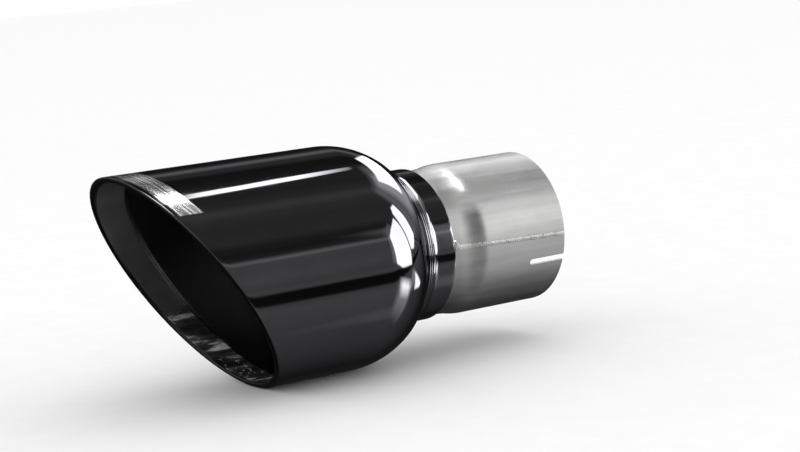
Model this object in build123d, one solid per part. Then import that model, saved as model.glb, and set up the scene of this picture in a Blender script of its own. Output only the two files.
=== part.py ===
"""A slant cut exhaust tip: a black chromed shell tacked onto a bare steel inlet sleeve.

The tip's axis lies along Y and the origin is the centre of the sleeve's open end, so the tail
pipe leaves along +Y and the gas along -Y. +Z is the side where the slanted lip reaches furthest.
All sizes are in millimetres, and the profiles are drawn with the radius as x.
"""
from build123d import *
from math import ceil, cos, radians, sin, tan
import os

# Inlet sleeve: a slotted steel tube that slips over a 3 inch tail pipe
pipe_diameter = 76.2
pipe_clearance = 0.1  # all round, before a band clamp closes the slots
sleeve_wall = 1.2
socket_length = 48.0  # straight stretch that takes the pipe
flare_length = 17.0  # from the socket down to the neck
neck_drop = 1.65  # how far the neck is drawn in, on the radius
neck_length = 5.0  # bare stretch of the neck, up to the collar
sleeve_edge = 0.35  # chamfer on the open end's outer edge
slot_count = 3
slot_width = 3.2
slot_length = 22.0
slot_angle = -21.0  # of the first slot, from +X towards +Z

# Shell: a tube spun down to a collar at the back and rolled over at the slanted mouth
shell_diameter = 114.3
shell_wall = 1.5
collar_clearance = 0.05  # all round the neck
collar_length = 12.0
collar_edge = 0.5  # chamfer on the collar's end
neck_stop = 0.5  # from the neck's hidden end to the groove
groove_depth = 0.9
groove_step = 3.0  # length of the slope from the collar down into the groove
groove_floor = 4.2
crease_radius = 0.9  # inside corner where the shoulder leaves the groove
crease_turn = 85.5  # degrees
corner_radius = 13.7  # tight bend of the shoulder, next to the crease
crown_turn = 33.5  # degrees left for the wide bend that runs out into the tube
mouth_distance = 205.3  # from the origin to the mouth, on the axis
mouth_slant = 31.7  # degrees from square
lip_thickness = 3.2  # the rolled edge, two walls and the fold between them
lip_depth = 18.0  # how far the rolled edge reaches back inside
lip_run = 4.0  # plain wall behind it, up to the cut where it joins the tube

# Small bends, which are drawn as flats so that the facets stay few
flat_turn = 30.0  # the most degrees that one flat takes

# Tack welds between the collar's end and the sleeve
tack_count = 3
tack_radius = 2.5
tack_angle = 2.5  # of the first tack, beside the sleeve's seam

sleeve_radius = pipe_diameter / 2 + pipe_clearance + sleeve_wall
neck_radius = sleeve_radius - neck_drop
flare_end = -(socket_length + flare_length)
collar_end = flare_end - neck_length
groove_start = collar_end - collar_length
collar_radius = neck_radius + collar_clearance + shell_wall
groove_radius = collar_radius - groove_depth
shell_radius = shell_diameter / 2
lip_start = -mouth_distance + lip_depth + lip_run


def smooth_step(start, end):
    """Two equal arcs from one radius to another, both ends along the axis. Built inside a BuildLine."""
    middle = (Vector(start) + Vector(end)) / 2
    TangentArc(start, middle, tangent=(0, -1))
    TangentArc(end, middle, tangent=(0, 1))


def flat_bend(start, tangent, radius, turn):
    """A small bend drawn as a few flats. Built inside a BuildLine. Returns the true arc."""
    bend = JernArc(start, tangent, radius, turn, mode=Mode.PRIVATE)
    flats = ceil(abs(turn) / flat_turn)
    Polyline(*[bend @ (step / flats) for step in range(flats + 1)])
    return bend


def wall_profile(outline, wall):
    """A wall's section, between its outside and the same line one wall further in."""
    with BuildSketch() as section:
        with BuildLine():
            outside = outline(0)
            inside = outline(wall)
            Line(outside[0], inside[0])
            Line(outside[1], inside[1])
        make_face()
    return section.sketch


def spin(profile):
    """The profile turned round the tip's axis."""
    return revolve(profile, axis=Axis.Y)


def slanted(shape):
    """The shape sheared along the tip's axis, so that what was square to the axis follows the mouth."""
    slope = -tan(radians(mouth_slant))
    return shape.transform_geometry(Matrix([[1, 0, 0, 0], [0, 1, slope, 0], [0, 0, 1, 0]]))


def sleeve_slots():
    """Round-ended cutters for the slots that let a clamp close the sleeve on the pipe."""
    outline = Plane.YZ.offset(sleeve_radius / 2) * SlotOverall(2 * slot_length, slot_width)
    cutter = extrude(outline, amount=sleeve_radius)
    return [Rot(0, -(slot_angle + 360 / slot_count * index), 0) * cutter for index in range(slot_count)]


def sleeve_outline(inset):
    """The sleeve's outside, or its inside, one wall in. Built inside a BuildLine. Returns the two ends."""
    socket = Line((sleeve_radius - inset, 0), (sleeve_radius - inset, -socket_length))
    neck = Line((neck_radius - inset, flare_end), (neck_radius - inset, groove_start + neck_stop))
    smooth_step(socket @ 1, neck @ 0)
    return socket @ 0, neck @ 1


def make_inlet_sleeve():
    """The socket, its flare down to the neck, and the stretch of neck inside the collar."""
    sleeve = spin(wall_profile(sleeve_outline, sleeve_wall))
    open_end = sleeve.edges().filter_by(GeomType.CIRCLE).group_by(Axis.Y)[-1]
    sleeve = chamfer(open_end.sort_by(SortBy.RADIUS)[-1], sleeve_edge)
    for slot in sleeve_slots():
        sleeve -= slot
    return sleeve


def shell_outline(inset):
    """The shell's outside from the collar's end to past the mouth, or its inside, one wall in.

    Built inside a BuildLine. Returns the two ends. The wide bend takes what rise the others leave.
    """
    rise = shell_radius - groove_radius - crease_radius * (1 - cos(radians(crease_turn)))
    rise -= corner_radius * (cos(radians(crown_turn)) - cos(radians(crease_turn)))
    crown_radius = rise / (1 - cos(radians(crown_turn)))
    floor_start = groove_start - groove_step
    floor_radius = groove_radius - inset
    collar = Line((collar_radius - inset, collar_end), (collar_radius - inset, groove_start))
    slope = Line(collar @ 1, (floor_radius, floor_start))
    floor = Line(slope @ 1, (floor_radius, floor_start - groove_floor))
    crease = flat_bend(floor @ 1, floor % 1, crease_radius + inset, crease_turn)
    corner = JernArc(crease @ 1, crease % 1, corner_radius - inset, crown_turn - crease_turn)
    crown = JernArc(corner @ 1, corner % 1, crown_radius - inset, -crown_turn)
    tube = Line(crown @ 1, (shell_radius - inset, -mouth_distance - shell_diameter))
    return collar @ 0, tube @ 1


def make_lip():
    """The mouth's end: the wall rolled inwards over a half round, drawn square and then slanted."""
    edge = lip_start - lip_run - lip_depth
    with BuildSketch() as section:
        with BuildLine():
            outside = Line((shell_radius, lip_start), (shell_radius, edge + lip_thickness / 2))
            fold = flat_bend(outside @ 1, outside % 1, lip_thickness / 2, -180)
            inside = Line(fold @ 1, (shell_radius - lip_thickness, edge + lip_depth))
            step = Line(inside @ 1, (shell_radius - shell_wall, edge + lip_depth))
            Polyline(step @ 1, (shell_radius - shell_wall, lip_start), outside @ 0)
        make_face()
    return slanted(spin(section.sketch))


def make_tip_shell():
    """The collar, groove, shoulder and tube, cut on the slant, with the rolled mouth's end joined on."""
    shell = spin(wall_profile(shell_outline, shell_wall))
    cut = Plane(origin=(0, lip_start, 0), z_dir=(0, -cos(radians(mouth_slant)), -sin(radians(mouth_slant))))
    shell = split(shell, bisect_by=cut, keep=Keep.BOTTOM)
    collar_edges = shell.edges().filter_by(GeomType.CIRCLE).group_by(Axis.Y)[-1]
    shell = chamfer(collar_edges.sort_by(SortBy.RADIUS)[-1], collar_edge)
    return shell + make_lip()


def make_tack_welds():
    """Beads in the corner between the collar's end and the neck, shaped to what they join."""
    centre_radius = (neck_radius + collar_radius) / 2
    bead = Pos(centre_radius, collar_end, 0) * Sphere(tack_radius)
    bead = split(bead, bisect_by=Plane(origin=(0, collar_end, 0), z_dir=(0, 1, 0)), keep=Keep.TOP)
    bead -= Pos(0, collar_end, 0) * Rot(90, 0, 0) * Cylinder(neck_radius, 4 * tack_radius)
    return [Rot(0, -(tack_angle + 360 / tack_count * index), 0) * bead for index in range(tack_count)]


def main():
    """Writes one STEP file for each piece."""
    os.makedirs("parts", exist_ok=True)
    sleeve = make_inlet_sleeve()
    shell = make_tip_shell()
    export_step(sleeve, "parts/inlet_sleeve.step")
    export_step(shell, "parts/tip_shell.step")
    export_step(Compound(children=make_tack_welds()), "parts/tack_welds.step")


main()
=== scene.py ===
"""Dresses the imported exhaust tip: its black chromed shell, bare steel sleeve, seam and tack welds.

Everything is in metres in the frame of the solids: the axis along Y, the sleeve's open end at the
origin, the mouth towards -Y, and +Z where the slanted lip reaches furthest.
"""
from math import atan2, cos, pi, radians, sin, sqrt, tan

import bmesh
import bpy
from mathutils import Matrix, Vector, noise


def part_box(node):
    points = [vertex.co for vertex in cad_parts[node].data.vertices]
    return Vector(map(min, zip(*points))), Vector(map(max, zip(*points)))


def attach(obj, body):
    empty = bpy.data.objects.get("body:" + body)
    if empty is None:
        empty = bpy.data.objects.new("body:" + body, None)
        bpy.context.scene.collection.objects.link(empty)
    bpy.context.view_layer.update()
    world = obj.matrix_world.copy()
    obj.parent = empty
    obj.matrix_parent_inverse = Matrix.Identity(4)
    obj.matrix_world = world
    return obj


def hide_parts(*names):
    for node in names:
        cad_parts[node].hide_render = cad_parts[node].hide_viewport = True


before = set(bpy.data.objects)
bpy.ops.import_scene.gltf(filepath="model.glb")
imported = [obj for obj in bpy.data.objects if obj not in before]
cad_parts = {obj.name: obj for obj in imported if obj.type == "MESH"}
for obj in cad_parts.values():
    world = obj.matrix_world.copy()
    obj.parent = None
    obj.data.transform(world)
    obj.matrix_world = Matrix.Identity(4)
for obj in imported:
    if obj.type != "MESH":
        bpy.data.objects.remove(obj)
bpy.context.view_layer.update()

MM = 0.001

# Sizes read from the solids
shell_low, shell_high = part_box("tip_shell")
sleeve_low, sleeve_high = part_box("inlet_sleeve")
SHELL_RADIUS = shell_high.x
COLLAR_END = shell_high.y
SLEEVE_RADIUS = sleeve_high.x
NECK_END = sleeve_low.y

# Shell, as in the solids, but for the bead and ribs between collar and groove
SHELL_WALL = 1.5 * MM
COLLAR_RADIUS = 39.3 * MM
COLLAR_LENGTH = 12 * MM
COLLAR_EDGE = 0.7 * MM
GROOVE_RADIUS = 38.4 * MM
GROOVE_STEP = 3 * MM
GROOVE_FLOOR = 4.2 * MM
CREASE_RADIUS = 0.9 * MM
CREASE_TURN = radians(85.5)
CORNER_RADIUS = 13.7 * MM
CROWN_TURN = radians(33.5)
BEAD_LEAD = 1.2 * MM  # how far before the groove the collar starts to swell
BEAD_FLARE = 8 * MM
BEAD_TURN = radians(24)
BEAD_DROP = radians(60)
RIB_CREST = 0.7 * MM
RIB_VALLEY = 0.5 * MM
RIB_DIP = radians(30)
MOUTH_SLANT = radians(31.7)
LIP_RADIUS = 1.6 * MM  # the rolled edge's rounding
LIP_DEPTH = 18 * MM
MOUTH_DISTANCE = -shell_low.y - (SHELL_RADIUS - LIP_RADIUS) * tan(MOUTH_SLANT)
MOUTH_DISTANCE -= LIP_RADIUS * (1 / cos(MOUTH_SLANT) - 1)

# Sleeve, as in the solids
SLEEVE_WALL = 1.2 * MM
SOCKET_LENGTH = 48 * MM
FLARE_LENGTH = 17 * MM
FLARE_LEAD = 0.35  # share of the flare where it gets steeper
NECK_RADIUS = 37.75 * MM
SLEEVE_EDGE = 0.35 * MM
SLOT_WIDTH = 3.2 * MM
SLOT_LENGTH = 22 * MM
SLOT_ANGLES = [radians(-21 + 120 * index) for index in range(3)]

# How finely the surfaces are divided
SPOKES = 288
TUBE_ROWS = 30
BORE_ROWS = 24
LIP_ROWS = 24, 5, 8  # round the rolled edge, along its inside and over its end
SLOT_STEPS = 16
SEAM_ROWS = 300
SEAM_COLUMNS = 14

# Welds
TACK_ANGLES = [radians(2.5 + 120 * index) for index in range(3)]
TACK_HALVES = 1.9, 2.1, 2.9  # half sizes in mm: out from the axis, along it and round it
TACK_SINK = 0.1 * MM  # from the middle of the corner that the bead fills towards the axis
TACK_REACH = 0.35 * MM  # from the collar's end to the bead's centre
SEAM_ANGLES = radians(0.8), radians(-2.5)  # at the collar and at the open end
SEAM_ENDS = COLLAR_END + 1.2 * MM, -0.25 * MM
SEAM_WIDTH = 2.6 * MM
SEAM_HEIGHT = 0.42 * MM
SEAM_PITCH = 1.15 * MM  # from ripple to ripple
SEAM_TAPER = 40  # each end tapers over one part in this many of the length
SEAM_SWELL = -58 * MM, 10 * MM  # slim on the flare, the bead fills out from here, over so much
SEAM_SINK = 0.03 * MM  # how deep its edges lie in the sleeve
SEAM_DEPTH = 0.3 * MM  # how far its underside lies below its top

# The photograph's camera, as fitted to the outlines
CAMERA_TARGET = Vector((0, -0.1, 0))
CAMERA_AZIMUTH = 56.83
CAMERA_ELEVATION = 7.9
CAMERA_ROLL = radians(-5)
CAMERA_DISTANCE = 1.1345
FOCAL_PIXELS = 2229.1
IMAGE_WIDTH = 800
AIM_TILT = -27.05 / FOCAL_PIXELS
AIM_PAN = 37.02 / FOCAL_PIXELS
SENSOR_WIDTH = 36

# Where the shell's finishes change. "Behind" is the distance along Y behind the edge of the mouth
FIELD_DEPTH = 3.2 * MM, 16.4 * MM, 0.5 * MM  # satin field: from and to, behind, and how soft
FIELD_TURN = 42.5, 137.5, 0.6  # the same round the shell, in degrees from +X
FIELD_SKIN = SHELL_RADIUS - 0.4 * MM, SHELL_RADIUS - 0.2 * MM  # none below the first of these radii
FIELD_GRAIN = 0.00004  # metres of grain that a degree of turn takes, so it is drawn out round Y
BORE_RADIUS = SHELL_RADIUS - SHELL_WALL
COAT_WALL = BORE_RADIUS, BORE_RADIUS + 0.3 * MM  # dull inside these radii
COAT_EDGE = 1.6 * MM, 2.2 * MM  # behind: the lip's rounding stays bright
COAT_END = -125 * MM, -121 * MM  # along Y, so that the shoulder's outside has none of it
FOOT_HEIGHT = -19 * MM, -23 * MM  # below this the coat is in bumped folds, whose bright tones are painted highlights
FOOT_WAVER = 2 * MM  # how far that goes up and down
# Below this height white dots are painted glints
PAINTED_GLINT_HEIGHT = -44 * MM, -49 * MM
PAINTED_SHADE_DEPTH = 16.4 * MM, 18.6 * MM  # behind: the coat's own tone up to here, and further in near-black painted shade
PAINTED_SHADE_WAVER = 1.2 * MM
NECK_PAINTED_SHADE = -66 * MM, -59 * MM, 0.8, 1.0  # painted shade on the neck by the collar: along Y, and the sleeve's tone left at each of the two

# Tones of the materials, by the value of the noise that they follow
NOISE_SPAN = 0.3, 0.7  # where nearly all of a noise's values lie
NOISE_ROUGHNESS = 0.55
CHROME_TONES = [(0.3, (0.064, 0.064, 0.068)), (0.7, (0.074, 0.074, 0.078))]
CHROME_TINT = 0.6, 0.6, 0.62
FIELD_TONES = [(0.32, (0.26, 0.26, 0.265)), (0.5, (0.6, 0.6, 0.61)), (0.68, (0.88, 0.88, 0.89))]
PLATING_TONES = [(0.3, (0.042, 0.042, 0.043)), (0.7, (0.070, 0.070, 0.069))]
# The folds' tones: the bright ones are painted highlights
FOLD_PAINTED_HIGHLIGHT_TONES = [(0.42, (0.02, 0.02, 0.02)), (0.56, (0.08, 0.08, 0.08)), (0.62, (0.5, 0.5, 0.5)),
              (0.68, (1.0, 1.0, 1.0))]
# Near-black painted shade deep inside the shell
PAINTED_SHADE_TONE = 0.003, 0.003, 0.003
STEEL_TONES = [(0.3, (0.50, 0.50, 0.515)), (0.5, (0.585, 0.58, 0.575)), (0.72, (0.66, 0.655, 0.65))]
STREAK_TONES = [(0.35, (0.42, 0.42, 0.42)), (0.65, (0.75, 0.75, 0.75))]
STREAK_SHARE = 0.25
WELD_TONES = [(0.3, (0.66, 0.65, 0.63)), (0.7, (0.92, 0.91, 0.9))]
FLOOR_TONES = [(0.3, (0.90, 0.90, 0.90)), (0.7, (0.92, 0.92, 0.92))]

# Stage
FLOOR_HALF = 9.0
FLOOR_LIGHT = 1.12
STUDIO_RADIUS = 6  # of the dome that the shell mirrors
DOME_GAP = 0.2  # from that to the one that the steel mirrors
SHOULDER = Vector((0.045, -0.11, 0.02))  # what the softbox is aimed at

# How bright the studio is that the shell mirrors, by degrees round the axis from +X: long soft
# bands beside the tip
STUDIO_BANDS = [
    (-180, 0.02), (-150, 0.03), (-125, 0.07), (-105, 0.22), (-85, 0.36), (-60, 0.46), (-32, 0.62),
    (-27, 0.5), (-25, 0.05), (-15, 0.04), (-13.5, 0.62), (-8, 0.5), (0, 0.62), (12, 0.56),
    (17, 0.6), (18.5, 1.2), (20.5, 1.0), (21.5, 0.2), (27, 0.1), (34, 0.14), (40, 0.26),
    (56, 0.24), (66, 0.3), (73, 0.45), (80, 0.26), (90, 0.18), (102, 0.2), (116, 0.1),
    (128, 0.08), (135, 0.26), (140, 0.2), (145, 0.75), (149, 0.7), (153, 0.15), (160, 0.03),
    (180, 0.02),
]
# What is in front of the mouth instead, by the share of the dome's height, and where along Y the
# bands give way to it
STUDIO_FRONT = [(0, 0.03), (0.35, 0.07), (0.5, 0.25), (0.62, 0.6), (0.8, 0.9), (1, 0.6)]
STUDIO_FRONT_FADE = 0.6, -0.6

# The same for the studio that the steel mirrors
STEEL_BANDS = [
    (-180, 0.03), (-150, 0.03), (-117, 0.05), (-97, 0.12), (-80, 0.2), (-66, 0.32), (-52, 0.46),
    (-40, 0.56), (-17, 0.6), (-6, 0.85), (5, 1.0), (16, 1.1), (26, 1.12), (38, 1.0), (50, 0.86),
    (60, 0.6), (86, 0.46), (101, 0.5), (118, 0.78), (135, 1.15), (150, 0.9), (165, 0.4), (180, 0.1),
]
STEEL_FRONT = [(0, 0.08), (0.45, 0.22), (0.6, 0.7), (1, 0.9)]
STEEL_FRONT_FADE = -0.1 * STUDIO_RADIUS, -0.35 * STUDIO_RADIUS
# What is left of the steel's bands where the flare tips its mirror image forwards, by the same
# degrees, and where along Y that ends
STEEL_DIP = [(-90, 1.0), (-75, 0.6), (-10, 0.42), (5, 0.2), (38, 0.16), (58, 1.0)]
STEEL_DIP_FADE = 0.42 * STUDIO_RADIUS, 0.49 * STUDIO_RADIUS
# The lamp that the flare shows there: radiance, from where to where round the axis and how soft,
# the same along Y, and how much further along Y it lies at its far end round the axis
FLASH_RADIANCE = 9
FLASH_TURN = 76, 126, 5
FLASH_REACH = -0.2 * STUDIO_RADIUS, 0.32 * STUDIO_RADIUS, 0.04 * STUDIO_RADIUS
FLASH_LEAN = 0.08 * STUDIO_RADIUS

# The lamps that the shell mirrors: radiance, then corners as azimuth, elevation and the softness of
# the side that starts there, all in degrees
STUDIO_LAMPS = [
    # The large one behind the shoulder, and the glow round it
    (14, [(186, 42, 1.6), (219, 37, 1.6), (226, 17, 1.6), (197, 19, 2.5)]),
    (2.2, [(173, 46, 6), (192, 46, 6), (208, 14, 6), (188, 11, 9)]),
    (0.9, [(158, 50, 8), (205, 50, 8), (212, 10, 8), (172, 4, 8)]),
    # Two side by side nearer the photograph's camera
    (14, [(151, 29, 1.2), (155, 33, 1.2), (163, 32, 1.2), (168, 19, 1.2), (171, 7, 1.2),
          (164, 0, 1.2), (158.5, 0.5, 1.2)]),
    (14, [(128, 17, 1.2), (135, 22.5, 1.2), (147, 27, 1.2), (151.5, 20, 1.2), (156.8, 0, 1.2),
          (157, -9, 1.2), (140, -10, 1.2), (131, -6, 1.2)]),
    # A low one with the glow under it
    (11, [(139, -19.5, 6), (157, -21, 7), (158, -28, 9), (142, -28.5, 7)]),
    (1.9, [(137, -20, 6), (158, -21, 6), (164, -42, 18), (139, -42, 10)]),
    # A low and narrow one with the glow beside it
    (1.6, [(158, -12, 3), (164, -13, 3), (165, -24, 5), (158, -24, 3)]),
    (14, [(164, -14, 1.5), (180, -19, 1.5), (180, -21, 1.5), (169, -24, 3)]),
    # High up: the long streak on the tube, and what lights the satin field
    (16, [(193.6, 62.9, 0.8), (204.8, 60.4, 0.8), (206.8, 56.4, 0.8), (206.9, 54.7, 2),
          (199.6, 56.9, 0.8), (196.2, 60.1, 0.8)]),
    (11, [(186, 66, 1), (200, 64.5, 1), (213, 60.5, 1), (212, 59.5, 1), (194, 63.5, 1)]),
    # A faint glow at the side of the pair
    (1.0, [(125, 24, 3), (134, 27, 3), (140, -8, 4), (125, -4, 2)]),
]


def direction(azimuth, elevation):
    """The way towards a place round the object: azimuth 0 is -Y and 90 is +X, in degrees."""
    flat = cos(radians(elevation))
    rise = sin(radians(elevation))
    return Vector((sin(radians(azimuth)) * flat, -cos(radians(azimuth)) * flat, rise))


def on_cylinder(radius, angle, y):
    """A point by its distance from the axis, its angle from +X towards +Z, and its y."""
    return Vector((radius * cos(angle), y, radius * sin(angle)))


class Outline:
    """A pen that draws a section as (radius, y) points, and carries on tangent from where it is."""

    def __init__(self, radius, y, heading=-pi / 2):
        self.points = [Vector((radius, y))]
        self.heading = heading

    def run(self, length, steps=1):
        """A straight stretch."""
        step = Vector((cos(self.heading), sin(self.heading))) * length / steps
        for _ in range(steps):
            self.points.append(self.points[-1] + step)
        return self

    def bend(self, radius, turn, steps):
        """An arc, to the left where the turn is positive."""
        side = 1 if turn > 0 else -1
        centre = self.points[-1] + Vector((-sin(self.heading), cos(self.heading))) * radius * side
        for step in range(1, steps + 1):
            heading = self.heading + turn * step / steps
            self.points.append(centre + Vector((sin(heading), -cos(heading))) * radius * side)
        self.heading += turn
        return self

    def ease(self, shift, length, steps, lead=0.5):
        """Two arcs that move the line sideways by the shift, positive to the left.

        The lead is the first arc's share of the length.
        """
        radii = (length ** 2 + shift ** 2) / (2 * abs(shift))
        turn = 2 * atan2(shift, length)
        self.bend(radii * lead, turn, steps)
        return self.bend(radii * (1 - lead), -turn, steps)


def put(name, data):
    """Adds an object to the scene."""
    thing = bpy.data.objects.new(name, data)
    bpy.context.scene.collection.objects.link(thing)
    return thing


def mesh_from(name, shape):
    """Turns an edit mesh into a mesh, and frees it."""
    mesh = bpy.data.meshes.new(name)
    shape.to_mesh(mesh)
    shape.free()
    return mesh


def solid_mesh(name, vertices, faces):
    """A smooth closed mesh, with its faces turned outwards."""
    mesh = bpy.data.meshes.new(name)
    mesh.from_pydata(vertices, [], faces)
    shape = bmesh.new()
    shape.from_mesh(mesh)
    bmesh.ops.recalc_face_normals(shape, faces=shape.faces)
    shape.to_mesh(mesh)
    shape.free()
    mesh.shade_smooth()
    return mesh


def lofted_mesh(name, spokes):
    """A closed tube of spokes, each of which is a closed section line, in order round it."""
    count = len(spokes[0])
    faces = []
    for index in range(len(spokes)):
        here, there = index * count, (index + 1) % len(spokes) * count
        for step in range(count):
            after = (step + 1) % count
            faces.append((here + step, here + after, there + after, there + step))
    return solid_mesh(name, [point for spoke in spokes for point in spoke], faces)


def strip_mesh(name, rows, depth):
    """A closed solid between a sheet of rows of points and the same rows sunk towards the axis."""
    count = len(rows[0])
    top = [point for row in rows for point in row]
    bottom = []
    for point in top:
        away = Vector((point.x, 0, point.z)).normalized()
        bottom.append(point - away * depth)
    faces = []
    total = len(top)
    for row in range(len(rows) - 1):
        for column in range(count - 1):
            corner = row * count + column
            quad = (corner, corner + 1, corner + count + 1, corner + count)
            faces.append(quad)
            faces.append(tuple(total + index for index in reversed(quad)))
    rim = list(range(count)) + [row * count + count - 1 for row in range(1, len(rows))]
    rim += [(len(rows) - 1) * count + column for column in range(count - 2, -1, -1)]
    rim += [row * count for row in range(len(rows) - 2, 0, -1)]
    for index, here in enumerate(rim):
        there = rim[(index + 1) % len(rim)]
        faces.append((here, total + here, total + there, there))
    mesh = solid_mesh(name, top + bottom, faces)
    mesh.set_sharp_from_angle(angle=radians(60))
    return mesh


def add_piece(name, mesh, material, slot, *nodes):
    """Puts a mesh in the scene on the one body, in place of the named solids."""
    piece = put(name, mesh)
    piece.data.materials.append(material)
    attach(piece, "root")
    if nodes:
        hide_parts(*nodes)
    return piece


def back_of_shell(inset):
    """The shell's section from the collar to the tube, outside, or one wall in."""
    rise = SHELL_RADIUS - GROOVE_RADIUS - CREASE_RADIUS * (1 - cos(CREASE_TURN))
    rise -= CORNER_RADIUS * (cos(CROWN_TURN) - cos(CREASE_TURN))
    crown_radius = rise / (1 - cos(CROWN_TURN))
    if inset == 0:
        pen = Outline(COLLAR_RADIUS - COLLAR_EDGE, COLLAR_END, 0).bend(COLLAR_EDGE, -pi / 2, 8)
        pen.run(COLLAR_LENGTH - COLLAR_EDGE - BEAD_LEAD, 8).bend(BEAD_FLARE, BEAD_TURN, 12)
        for _ in range(2):
            pen.bend(RIB_CREST, -BEAD_TURN - RIB_DIP, 10).bend(RIB_VALLEY, RIB_DIP + BEAD_TURN, 8)
        pen.bend(RIB_CREST, -BEAD_TURN - BEAD_DROP, 12)
        drop = pen.points[-1].x - GROOVE_RADIUS - RIB_CREST * (1 - cos(BEAD_DROP))
        pen.run(drop / sin(BEAD_DROP), 2)
        pen.bend(RIB_CREST, BEAD_DROP, 6)
        pen.run(pen.points[-1].y - COLLAR_END + COLLAR_LENGTH + GROOVE_STEP + GROOVE_FLOOR, 2)
    else:
        pen = Outline(COLLAR_RADIUS - inset, COLLAR_END)
        pen.run(COLLAR_LENGTH, 8).ease(GROOVE_RADIUS - COLLAR_RADIUS, GROOVE_STEP, 8)
        pen.run(GROOVE_FLOOR, 4)
    pen.bend(CREASE_RADIUS + inset, CREASE_TURN, 12)
    pen.bend(CORNER_RADIUS - inset, CROWN_TURN - CREASE_TURN, 24)
    pen.bend(crown_radius - inset, -CROWN_TURN, 28)
    return pen.points


def lip_section():
    """The rolled edge as (out from the wall, along towards the mouth) points, outside to inside."""
    fold_rows, flat_rows, end_rows = LIP_ROWS
    section = []
    for step in range(fold_rows + 1):
        turn = pi * step / fold_rows
        section.append((LIP_RADIUS * (cos(turn) - 1), LIP_RADIUS * (sin(turn) - 1)))
    inner = -2 * LIP_RADIUS
    for step in range(1, flat_rows + 1):
        section.append((inner, -LIP_RADIUS - (LIP_DEPTH - 2 * LIP_RADIUS) * step / flat_rows))
    end_rounding = 2 * LIP_RADIUS - SHELL_WALL
    for step in range(1, end_rows + 1):
        turn = pi / 2 * step / end_rows
        out = inner + end_rounding * (1 - cos(turn))
        section.append((out, -LIP_DEPTH + LIP_RADIUS - end_rounding * sin(turn)))
    return section


def at_mouth(angle, out, along):
    """A point of the lip's section, sheared along the axis to follow the slanted mouth."""
    radius = SHELL_RADIUS + out
    return radius, angle, -MOUTH_DISTANCE - radius * sin(angle) * tan(MOUTH_SLANT) - along


def blend_rows(first, last, steps):
    """Points on a cylinder between two (radius, angle, y) places, both left out."""
    rows = []
    for step in range(1, steps):
        share = step / steps
        rows.append([one + (two - one) * share for one, two in zip(first, last)])
    return rows


def make_shell(material):
    """The shell as one skin: collar, groove, shoulder, tube, rolled lip and the inside back."""
    outside = back_of_shell(0)
    inside = back_of_shell(SHELL_WALL)
    lip = lip_section()
    spokes = []
    for index in range(SPOKES):
        angle = 2 * pi * index / SPOKES
        rolled = [at_mouth(angle, out, along) for out, along in lip]
        rows = [(point.x, angle, point.y) for point in outside]
        rows += blend_rows(rows[-1], rolled[0], TUBE_ROWS)
        rows += rolled
        back = [(point.x, angle, point.y) for point in reversed(inside)]
        rows += blend_rows(rolled[-1], back[0], BORE_ROWS)
        rows += back
        spokes.append([on_cylinder(*row) for row in rows])
    mesh = lofted_mesh("black_shell", spokes)
    add_piece("black_shell", mesh, material, "black_chrome", "tip_shell")


def sleeve_section():
    """The sleeve's section as (radius, y) points: outside from the open end, and inside back."""
    drop = NECK_RADIUS - SLEEVE_RADIUS
    neck_length = -NECK_END - SOCKET_LENGTH - FLARE_LENGTH
    outside = Outline(SLEEVE_RADIUS - SLEEVE_EDGE, 0, 0).bend(SLEEVE_EDGE, -pi / 2, 6)
    outside.run(SOCKET_LENGTH - SLEEVE_EDGE, 24)
    inside = Outline(SLEEVE_RADIUS - SLEEVE_WALL, 0).run(SOCKET_LENGTH, 24)
    for pen in (outside, inside):
        pen.ease(drop, FLARE_LENGTH, 12, FLARE_LEAD).run(neck_length, 6)
    return outside.points + inside.points[::-1]


def slot_cutter(angle):
    """A round-ended bar across the wall, for one slot."""
    half = SLOT_WIDTH / 2
    outline = [(SLOT_WIDTH, half)]
    for step in range(SLOT_STEPS + 1):
        turn = pi / 2 + pi * step / SLOT_STEPS
        outline.append((-SLOT_LENGTH + half + half * cos(turn), half * sin(turn)))
    outline.append((SLOT_WIDTH, -half))
    shape = bmesh.new()
    near, far = [[shape.verts.new((radius, y, across)) for y, across in outline]
                 for radius in (SLEEVE_RADIUS - 3 * SLEEVE_WALL, SLEEVE_RADIUS + 2 * SLEEVE_WALL)]
    shape.faces.new(near)
    shape.faces.new(far[::-1])
    for index in range(len(outline)):
        after = (index + 1) % len(outline)
        shape.faces.new((near[index], far[index], far[after], near[after]))
    bmesh.ops.recalc_face_normals(shape, faces=shape.faces)
    bmesh.ops.rotate(shape, verts=shape.verts, matrix=Matrix.Rotation(-angle, 3, "Y"))
    return put("slot_cutter", mesh_from("slot_cutter", shape))


def apply_modifiers(piece):
    """Bakes a piece's modifiers into its mesh."""
    bpy.context.view_layer.update()
    evaluated = piece.evaluated_get(bpy.context.evaluated_depsgraph_get())
    result = bpy.data.meshes.new_from_object(evaluated)
    piece.modifiers.clear()
    piece.data = result


def cut_slots(piece):
    """Cuts the slots and leaves a plain mesh, with its sharp edges marked."""
    for angle in SLOT_ANGLES:
        cutter = slot_cutter(angle)
        cut = piece.modifiers.new("slot", "BOOLEAN")
        cut.operation = "DIFFERENCE"
        cut.solver = "EXACT"
        cut.object = cutter
        apply_modifiers(piece)
        bpy.data.objects.remove(cutter)
    piece.data.set_sharp_from_angle(angle=radians(40))


def make_sleeve(material):
    """The bare sleeve: slotted socket, flare and neck."""
    section = sleeve_section()
    angles = [2 * pi * index / SPOKES for index in range(SPOKES)]
    spokes = [[on_cylinder(point.x, angle, point.y) for point in section] for angle in angles]
    mesh = lofted_mesh("steel_sleeve", spokes)
    cut_slots(add_piece("steel_sleeve", mesh, material, "bare_steel", "inlet_sleeve"))


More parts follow.
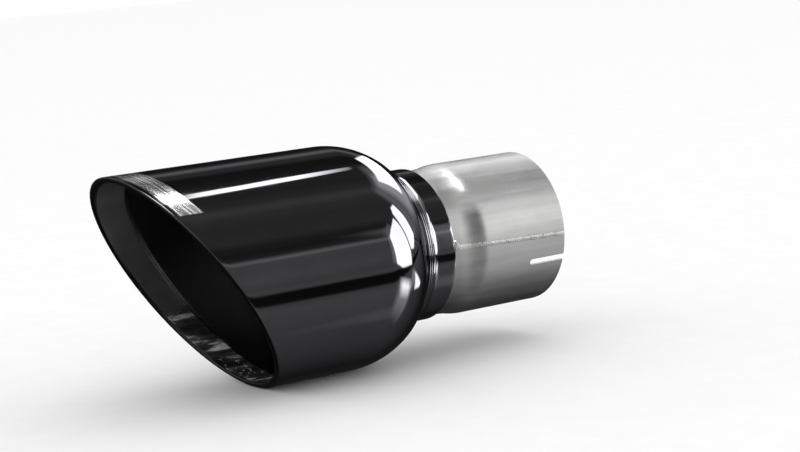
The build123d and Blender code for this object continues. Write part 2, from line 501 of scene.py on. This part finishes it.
def sleeve_radius_at(y):
    """The sleeve's outer radius along its socket, flare and neck."""
    share = min(max((-y - SOCKET_LENGTH) / FLARE_LENGTH, 0), 1)
    if share < FLARE_LEAD:
        smooth = share ** 2 / FLARE_LEAD
    else:
        smooth = 1 - (1 - share) ** 2 / (1 - FLARE_LEAD)
    return SLEEVE_RADIUS + (NECK_RADIUS - SLEEVE_RADIUS) * smooth


def uneven(y, lumps, seed):
    """Smooth noise along the seam, with so many lumps in a metre."""
    return noise.noise(Vector((y * lumps, seed, 0)))


def make_seam(material):
    """The sleeve's weld seam: a low rippled bead from the collar to the open end."""
    start, end = SEAM_ENDS
    swell_start, swell_length = SEAM_SWELL
    spokes = []
    for row in range(SEAM_ROWS + 1):
        share = row / SEAM_ROWS
        y = start + (end - start) * share
        middle = SEAM_ANGLES[0] + (SEAM_ANGLES[1] - SEAM_ANGLES[0]) * share
        surface = sleeve_radius_at(y)
        taper = min(1, share * SEAM_TAPER, (1 - share) * SEAM_TAPER)
        fullness = 0.8 + 0.5 * uneven(y, 260, 3.1)
        fullness *= 0.45 + 0.75 * min(max((y - swell_start) / swell_length, 0), 1)
        width = SEAM_WIDTH * (0.9 + 0.25 * uneven(y, 330, 7.7))
        line = []
        for column in range(SEAM_COLUMNS + 1):
            across = 2 * column / SEAM_COLUMNS - 1
            dome = sqrt(max(0, 1 - across ** 2))
            # The ripples are bowed, and lag at the sides
            phase = (y + 0.55 * SEAM_WIDTH * across ** 2) / SEAM_PITCH
            ripple = 0.5 + 0.5 * cos(2 * pi * phase)
            rough = noise.noise(Vector((y * 1500, across * 2.2, 0.5)))
            height = SEAM_HEIGHT * taper * fullness * dome * (0.72 + 0.3 * ripple + 0.25 * rough)
            angle = middle + across * width / 2 / surface
            line.append(on_cylinder(surface + height - SEAM_SINK, angle, y))
        spokes.append(line)
    add_piece("seam_weld", strip_mesh("seam_weld", spokes, SEAM_DEPTH), material, "bare_steel")


def make_tacks(material):
    """The tack welds: lumps in the corner between the collar's end and the neck."""
    out, along, aside = TACK_HALVES
    centre_radius = (NECK_RADIUS + COLLAR_RADIUS) / 2 - TACK_SINK
    centre = Vector((centre_radius, COLLAR_END + TACK_REACH, 0))
    for index, angle in enumerate(TACK_ANGLES):
        shape = bmesh.new()
        bmesh.ops.create_icosphere(shape, subdivisions=5, radius=1)
        for vertex in shape.verts:
            unit = vertex.co.copy()
            swell = 1 + 0.16 * noise.noise(unit * 1.7 + Vector((index * 5.3, 0, 0)))
            swell += 0.05 * noise.noise(unit * 5 + Vector((0, index * 3.1, 0)))
            vertex.co = Vector((unit.x * out, unit.y * along, unit.z * aside)) * MM * swell
        bmesh.ops.translate(shape, verts=shape.verts, vec=centre)
        bmesh.ops.rotate(shape, verts=shape.verts, matrix=Matrix.Rotation(-angle, 3, "Y"))
        mesh = mesh_from("tack_bead_%d" % (index + 1), shape)
        mesh.shade_smooth()
        add_piece(mesh.name, mesh, material, "bare_steel", "tack_welds")


def grey(tone):
    """A colour without hue."""
    return (tone,) * 3


class Nodes:
    """Short ways to add and join shader nodes in one material."""

    def __init__(self, name):
        self.material = bpy.data.materials.new(name)
        self.material.use_nodes = True
        self.tree = self.material.node_tree
        self.shader = self.tree.nodes["Principled BSDF"]
        self.place = self.tree.nodes.new("ShaderNodeTexCoord").outputs["Object"]

    def link(self, source, target):
        """Joins an output, or sets a plain value."""
        if isinstance(source, bpy.types.NodeSocket):
            self.tree.links.new(source, target)
        else:
            target.default_value = source

    def math(self, operation, first, second=0.0, third=0.0):
        """A sum, product or other function of one to three numbers."""
        node = self.tree.nodes.new("ShaderNodeMath")
        node.operation = operation
        for value, socket in zip((first, second, third), node.inputs):
            self.link(value, socket)
        return node.outputs[0]

    def angle(self, rise, run):
        """The angle of a slope, in degrees."""
        return self.math("DEGREES", self.math("ARCTAN2", rise, run))

    def length(self, one, two):
        """The length of the long side of a right-angled triangle."""
        squares = [self.math("MULTIPLY", side, side) for side in (one, two)]
        return self.math("SQRT", self.math("ADD", *squares))

    def stretched(self, scale):
        """Object coordinates, stretched along each axis."""
        node = self.tree.nodes.new("ShaderNodeMapping")
        self.link(self.place, node.inputs["Vector"])
        node.inputs["Scale"].default_value = scale
        return node.outputs[0]

    def noise_at(self, place, scale, detail, roughness=0.5):
        """Noise at the given coordinates, with the scale in lumps per metre."""
        node = self.tree.nodes.new("ShaderNodeTexNoise")
        self.link(place, node.inputs["Vector"])
        node.inputs["Scale"].default_value = scale
        node.inputs["Detail"].default_value = detail
        node.inputs["Roughness"].default_value = roughness
        return node.outputs["Fac"]

    def noise(self, scale, detail=3.0, stretch=(1, 1, 1)):
        """Noise at the object's own coordinates, stretched along each axis."""
        return self.noise_at(self.stretched(stretch), scale, detail, NOISE_ROUGHNESS)

    def ramp(self, value, stops):
        """Maps a number to colours at the given places."""
        node = self.tree.nodes.new("ShaderNodeValToRGB")
        self.link(value, node.inputs["Fac"])
        elements = node.color_ramp.elements
        while len(elements) < len(stops):
            elements.new(0.5)
        for element, (place, colour) in zip(elements, stops):
            element.position = place
            element.color = (*colour, 1)
        return node.outputs["Color"]

    def spread(self, value, low, high, out_low, out_high):
        """Maps one range of numbers to another, and holds the ends."""
        node = self.tree.nodes.new("ShaderNodeMapRange")
        for given, key in zip((value, low, high, out_low, out_high),
                              ("Value", "From Min", "From Max", "To Min", "To Max")):
            self.link(given, node.inputs[key])
        return node.outputs["Result"]

    def vary(self, lumps, low, high):
        """Spreads noise over the numbers from low to high."""
        return self.spread(lumps, *NOISE_SPAN, low, high)

    def window(self, value, low, high, soft):
        """One between the low and the high value and nothing outside them, with soft edges."""
        rise = self.spread(value, low, low + soft, 0, 1)
        return self.math("MULTIPLY", rise, self.spread(value, high - soft, high, 1, 0))

    def parts(self):
        """The object coordinates as three numbers."""
        node = self.tree.nodes.new("ShaderNodeSeparateXYZ")
        self.link(self.place, node.inputs[0])
        return node.outputs["X"], node.outputs["Y"], node.outputs["Z"]

    def join(self, x, y, z):
        """Three numbers as coordinates."""
        node = self.tree.nodes.new("ShaderNodeCombineXYZ")
        for value, socket in zip((x, y, z), node.inputs):
            self.link(value, socket)
        return node.outputs[0]

    def blend(self, share, first, second):
        """Mixes two numbers."""
        node = self.tree.nodes.new("ShaderNodeMix")
        self.link(share, node.inputs["Factor"])
        self.link(first, node.inputs[2])
        self.link(second, node.inputs[3])
        return node.outputs[0]

    def mix(self, share, first, second, kind="MIX"):
        """Mixes two colours."""
        node = self.tree.nodes.new("ShaderNodeMix")
        node.data_type = "RGBA"
        node.blend_type = kind
        self.link(share, node.inputs["Factor"])
        for value, socket in ((first, node.inputs[6]), (second, node.inputs[7])):
            self.link(value if isinstance(value, bpy.types.NodeSocket) else (*value, 1), socket)
        return node.outputs[2]

    def bump(self, height, distance, strength, normal=None):
        """Turns a height into a normal."""
        node = self.tree.nodes.new("ShaderNodeBump")
        node.inputs["Distance"].default_value = distance
        node.inputs["Strength"].default_value = strength
        self.link(height, node.inputs["Height"])
        if normal:
            self.link(normal, node.inputs["Normal"])
        return node.outputs[0]

    def set(self, **values):
        """Sets or links the shader's own sockets, by their names with _ for a space."""
        for key, value in values.items():
            self.link(value, self.shader.inputs[key.replace("_", " ")])


def satin_field(nodes, behind, turn, radius):
    """The plain satin field behind the lip: where it is, its tone and its roughness."""
    share = nodes.window(behind, *FIELD_DEPTH)
    share = nodes.math("MULTIPLY", share, nodes.window(turn, *FIELD_TURN))
    share = nodes.math("MULTIPLY", share, nodes.spread(radius, *FIELD_SKIN, 0, 1))
    along = nodes.join(behind, nodes.math("MULTIPLY", turn, FIELD_GRAIN), 0.0)
    grain = nodes.noise_at(along, 1500, 3.0)
    return share, nodes.ramp(grain, FIELD_TONES), nodes.vary(grain, 0.16, 0.30)


def mouth_coat(nodes, behind, radius, y, z):
    """The dull inside: where it is, its tone, its roughness and the height of its folds.

    A thin coat reaches in from the mouth, with bumped folds at its foot whose bright tones are
    painted highlights, white dots there that are painted glints, and further in near-black painted
    shade.
    """
    share = nodes.spread(radius, *COAT_WALL, 1, 0)
    share = nodes.math("MULTIPLY", share, nodes.spread(behind, *COAT_EDGE, 0, 1))
    share = nodes.math("MULTIPLY", share, nodes.spread(y, *COAT_END, 1, 0))
    folds = nodes.noise(190, 4.0, (1, 0.2, 1))
    height = nodes.math("ADD", z, nodes.vary(folds, -FOOT_WAVER, FOOT_WAVER))
    foot = nodes.spread(height, *FOOT_HEIGHT, 0, 1)
    plating_and_painted_highlights = nodes.ramp(nodes.noise(45, 5.0), PLATING_TONES)
    # Painted highlights: the folds' bright tones, on top of their real bumps
    plating_and_painted_highlights = nodes.mix(foot, plating_and_painted_highlights, nodes.ramp(folds, FOLD_PAINTED_HIGHLIGHT_TONES))
    # Painted glints: white dots near the bottom of the inside
    painted_glints = nodes.spread(nodes.noise(520, 1.0), 0.645, 0.69, 0, 1)
    painted_glints = nodes.math("MULTIPLY", painted_glints, nodes.spread(z, *PAINTED_GLINT_HEIGHT, 0, 1))
    plating_and_painted_highlights = nodes.mix(painted_glints, plating_and_painted_highlights, grey(1.0))
    # Painted shade: past a wavering depth the inside's tone goes near-black
    waver = nodes.vary(nodes.noise(70, 3.0), -PAINTED_SHADE_WAVER, PAINTED_SHADE_WAVER)
    unshaded = nodes.spread(nodes.math("ADD", behind, waver), *PAINTED_SHADE_DEPTH, 1, 0)
    foot = nodes.math("MULTIPLY", foot, unshaded)
    rough = nodes.blend(foot, nodes.vary(folds, 0.4, 0.5), 0.2)
    crinkle = nodes.math("MULTIPLY", nodes.math("MULTIPLY", share, foot), folds)
    return share, nodes.mix(unshaded, PAINTED_SHADE_TONE, plating_and_painted_highlights), rough, crinkle


def black_chrome():
    """Mirror polished black chrome, with a plain satin field behind the lip and a dull inside."""
    nodes = Nodes("black_chrome_mirror")
    x, y, z = nodes.parts()
    radius = nodes.length(x, z)
    turn = nodes.angle(z, x)
    slant = nodes.math("MULTIPLY_ADD", z, tan(MOUTH_SLANT), y)
    behind = nodes.math("ADD", slant, MOUTH_DISTANCE)
    waves = nodes.noise(38, 2.0, (1, 0.35, 1))
    smudge = nodes.noise(55, 4.0, (1, 0.6, 1))
    field, field_tone, field_rough = satin_field(nodes, behind, turn, radius)
    # The inside's tone carries painted shade, painted highlights and painted glints
    coat, coat_tone, coat_rough, crinkle = mouth_coat(nodes, behind, radius, y, z)
    base = nodes.mix(field, nodes.ramp(smudge, CHROME_TONES), field_tone)
    rough = nodes.blend(field, nodes.spread(smudge, 0.35, 0.7, 0.03, 0.07), field_rough)
    nodes.set(Base_Color=nodes.mix(coat, base, coat_tone),
              Roughness=nodes.blend(coat, rough, coat_rough),
              Metallic=nodes.blend(coat, 1.0, 0.3),
              Normal=nodes.bump(crinkle, 1.2 * MM, 0.8, nodes.bump(waves, 0.25 * MM, 0.35)))
    nodes.shader.inputs["Specular Tint"].default_value = (*CHROME_TINT, 1)
    return nodes.material


def bare_steel():
    """Drawn stainless tube, satin, with faint streaks along it, uneven tone and painted shade on the
    neck by the collar.
    """
    nodes = Nodes("bare_steel_satin")
    tone = nodes.noise(28, 4.0, (1, 0.5, 1))
    streak = nodes.noise(240, 3.0, (1, 0.05, 1))
    fine = nodes.noise(1500, 2.0, (1, 0.12, 1))
    blotch = nodes.noise(90, 4.0)
    streaks = nodes.ramp(streak, STREAK_TONES)
    colour = nodes.mix(STREAK_SHARE, nodes.ramp(tone, STEEL_TONES), streaks)
    _, y, _ = nodes.parts()
    # Painted shade: the neck is darker next to the collar
    neck = nodes.spread(y, *NECK_PAINTED_SHADE)
    colour = nodes.mix(1.0, colour, nodes.join(neck, neck, neck), "MULTIPLY")
    rough = nodes.math("ADD", nodes.vary(blotch, 0.19, 0.26), nodes.vary(streak, -0.03, 0.04))
    nodes.set(Base_Color=colour, Metallic=1.0, Roughness=rough,
              Normal=nodes.bump(fine, 0.03 * MM, 0.5, nodes.bump(blotch, 0.15 * MM, 0.3)))
    return nodes.material


def weld_metal():
    """Weld bead: brighter, coarser and a little uneven."""
    nodes = Nodes("weld_metal")
    lumps = nodes.noise(1100, 4.0)
    nodes.set(Base_Color=nodes.ramp(lumps, WELD_TONES), Metallic=1.0,
              Roughness=nodes.vary(lumps, 0.16, 0.34), Normal=nodes.bump(lumps, 0.12 * MM, 0.7))
    return nodes.material


def pale_floor():
    """Matt near-white paper."""
    nodes = Nodes("pale_floor")
    nodes.set(Base_Color=nodes.ramp(nodes.noise(60, 3.0), FLOOR_TONES), Roughness=0.9)
    nodes.shader.inputs["Specular IOR Level"].default_value = 0.1
    return nodes.material


def make_floor():
    """A wide plain floor just under the shell, which the polished surfaces don't mirror."""
    corners = [(x * FLOOR_HALF, y * FLOOR_HALF, shell_low.z)
               for x, y in ((-1, -1), (1, -1), (1, 1), (-1, 1))]
    mesh = bpy.data.meshes.new("floor")
    mesh.from_pydata(corners, [], [(0, 1, 2, 3)])
    floor = put("floor", mesh)
    floor.data.materials.append(pale_floor())
    floor.visible_glossy = False
    floor.visible_shadow = False


def round_stops(bands):
    """Colour ramp stops from pairs of degrees round the axis and brightness."""
    return [((degree + 180) / 360, grey(glow)) for degree, glow in bands]


def turn_bands(nodes, turn, bands):
    """Soft bands of light round the axis: two colour ramps, since one can't hold so many stops."""
    share = nodes.spread(turn, -180, 180, 0, 1)
    half = len(bands) // 2
    low, high = [nodes.ramp(share, round_stops(part)) for part in (bands[:half + 1], bands[half:])]
    return nodes.mix(nodes.math("GREATER_THAN", turn, float(bands[half][0])), low, high)


def with_front(nodes, bands, stops, fade):
    """The bands, which give way in front to a plain glow that only changes with the height."""
    _, y, z = nodes.parts()
    height = nodes.spread(z, -STUDIO_RADIUS, STUDIO_RADIUS, 0, 1)
    plain = nodes.ramp(height, [(share, grey(glow)) for share, glow in stops])
    return nodes.mix(nodes.spread(y, *fade, 0, 1), bands, plain)


def lamp_share(nodes, corners):
    """One inside a patch of the sky, where all its sides have their inside, and else nothing."""
    x, y, z = nodes.parts()
    azimuth = nodes.math("SUBTRACT", 180.0, nodes.angle(x, y))
    elevation = nodes.angle(z, nodes.length(x, y))
    share = 1.0
    for (*here, soft), (*there, _) in zip(corners, corners[1:] + corners[:1]):
        way = (Vector(there) - Vector(here)).normalized()
        offset = here[1] * way.x - here[0] * way.y
        inward = nodes.math("MULTIPLY_ADD", azimuth, way.y, offset)
        inward = nodes.math("MULTIPLY_ADD", elevation, -way.x, inward)
        share = nodes.math("MULTIPLY", share, nodes.spread(inward, -soft / 2, soft / 2, 0, 1))
    return share


def add_lamps(nodes, glow, lamps):
    """The glow with the lamps' light on top."""
    for radiance, corners in lamps:
        lamp = nodes.mix(lamp_share(nodes, corners), grey(0), grey(radiance))
        glow = nodes.mix(1.0, glow, lamp, "ADD")
    return glow


def clear_glow(nodes, glow):
    """A surface that only adds its light to what stands behind it."""
    tree = nodes.tree
    emission = tree.nodes.new("ShaderNodeEmission")
    tree.links.new(glow, emission.inputs["Color"])
    both = tree.nodes.new("ShaderNodeAddShader")
    tree.links.new(emission.outputs[0], both.inputs[0])
    tree.links.new(tree.nodes.new("ShaderNodeBsdfTransparent").outputs[0], both.inputs[1])
    tree.links.new(both.outputs[0], tree.nodes["Material Output"].inputs["Surface"])
    nodes.material.cycles.emission_sampling = "NONE"
    return nodes.material


def chrome_glow():
    """What the shell mirrors: bands beside it, a plain glow in front of the mouth, and lamps."""
    nodes = Nodes("chrome_glow")
    x, _, z = nodes.parts()
    bands = turn_bands(nodes, nodes.angle(z, x), STUDIO_BANDS)
    glow = with_front(nodes, bands, STUDIO_FRONT, STUDIO_FRONT_FADE)
    return clear_glow(nodes, add_lamps(nodes, glow, STUDIO_LAMPS))


def steel_glow():
    """What the steel mirrors: bands with a dip and a lamp for the flare, and a plain front."""
    nodes = Nodes("steel_glow")
    x, y, z = nodes.parts()
    turn = nodes.angle(z, x)
    dip = nodes.ramp(nodes.spread(turn, -180, 180, 0, 1), round_stops(STEEL_DIP))
    dip = nodes.mix(nodes.spread(y, *STEEL_DIP_FADE, 0, 1), dip, grey(1))
    bands = nodes.mix(1.0, turn_bands(nodes, turn, STEEL_BANDS), dip, "MULTIPLY")
    lean = nodes.spread(turn, *FLASH_TURN[:2], 0, FLASH_LEAN)
    reach = nodes.window(nodes.math("SUBTRACT", y, lean), *FLASH_REACH)
    flash = nodes.math("MULTIPLY", nodes.window(turn, *FLASH_TURN), reach)
    bands = nodes.mix(flash, bands, grey(FLASH_RADIANCE))
    return clear_glow(nodes, with_front(nodes, bands, STEEL_FRONT, STEEL_FRONT_FADE))


def make_dome(name, radius, material, pieces):
    """A sphere round the scene, seen only in the reflections of the given pieces."""
    shape = bmesh.new()
    bmesh.ops.create_uvsphere(shape, u_segments=64, v_segments=32, radius=radius)
    mesh = mesh_from(name, shape)
    mesh.shade_smooth()
    dome = put(name, mesh)
    dome.data.materials.append(material)
    dome.visible_camera = False
    dome.visible_diffuse = False
    dome.visible_shadow = False
    dome.visible_transmission = False
    dome.light_linking.receiver_collection = pieces


def softbox(name, azimuth, elevation, distance, width, height, radiance, pieces):
    """A rectangular light that faces the shoulder and lights the given pieces, sized in metres."""
    light = bpy.data.lights.new(name, "AREA")
    light.shape = "RECTANGLE"
    light.size = width
    light.size_y = height
    light.energy = radiance * width * height * pi
    lamp = put(name, light)
    way = direction(azimuth, elevation)
    turn = way.to_track_quat("Z", "Y").to_matrix().to_4x4()
    lamp.matrix_world = Matrix.Translation(SHOULDER + way * distance) @ turn
    lamp.visible_camera = False
    lamp.light_linking.receiver_collection = pieces


def receivers(name, *pieces):
    """A collection of the pieces that some of the lights are meant for."""
    group = bpy.data.collections.new(name)
    for piece in pieces:
        group.objects.link(bpy.data.objects[piece])
    return group


def make_lights():
    """A mirrored studio for the chrome and one for the steel, and a softbox over the chrome."""
    chrome = receivers("lit_chrome", "black_shell")
    steel = receivers("lit_steel", "steel_sleeve", "seam_weld",
                      "tack_bead_1", "tack_bead_2", "tack_bead_3")
    make_dome("chrome_dome", STUDIO_RADIUS, chrome_glow(), chrome)
    make_dome("steel_dome", STUDIO_RADIUS + DOME_GAP, steel_glow(), steel)
    softbox("top_box", azimuth=60, elevation=82, distance=1.3, width=0.7, height=0.62,
            radiance=14, pieces=chrome)


def make_world():
    """Even pale light on the floor, which reflections don't see."""
    world = bpy.data.worlds.new("studio")
    bpy.context.scene.world = world
    world.use_nodes = True
    background = world.node_tree.nodes["Background"]
    background.inputs["Color"].default_value = (1, 1, 1, 1)
    background.inputs["Strength"].default_value = FLOOR_LIGHT
    world.cycles_visibility.glossy = False
    bpy.context.scene.view_settings.view_transform = "Standard"


def make_camera():
    """The photograph's view, from the fitted azimuth, height, roll and focal length."""
    data = bpy.data.cameras.new("camera")
    data.sensor_width = SENSOR_WIDTH
    data.lens = FOCAL_PIXELS * SENSOR_WIDTH / IMAGE_WIDTH
    data.clip_start = 0.01
    camera = put("camera", data)
    back = direction(CAMERA_AZIMUTH, CAMERA_ELEVATION)
    right = Vector((0, 0, 1)).cross(back).normalized()
    axes = Matrix((right, back.cross(right), back)).transposed()
    aim = Matrix.Rotation(CAMERA_ROLL, 3, "Z") @ Matrix.Rotation(-AIM_TILT, 3, "X")
    turned = (axes @ aim @ Matrix.Rotation(-AIM_PAN, 3, "Y")).to_4x4()
    camera.matrix_world = Matrix.Translation(CAMERA_TARGET + back * CAMERA_DISTANCE) @ turned
    bpy.context.scene.camera = camera


def main():
    """Builds the dressed tip, its stage and its camera."""
    steel = bare_steel()
    weld = weld_metal()
    make_shell(black_chrome())
    make_sleeve(steel)
    make_seam(weld)
    make_tacks(weld)
    make_floor()
    make_lights()
    make_world()
    make_camera()


main()
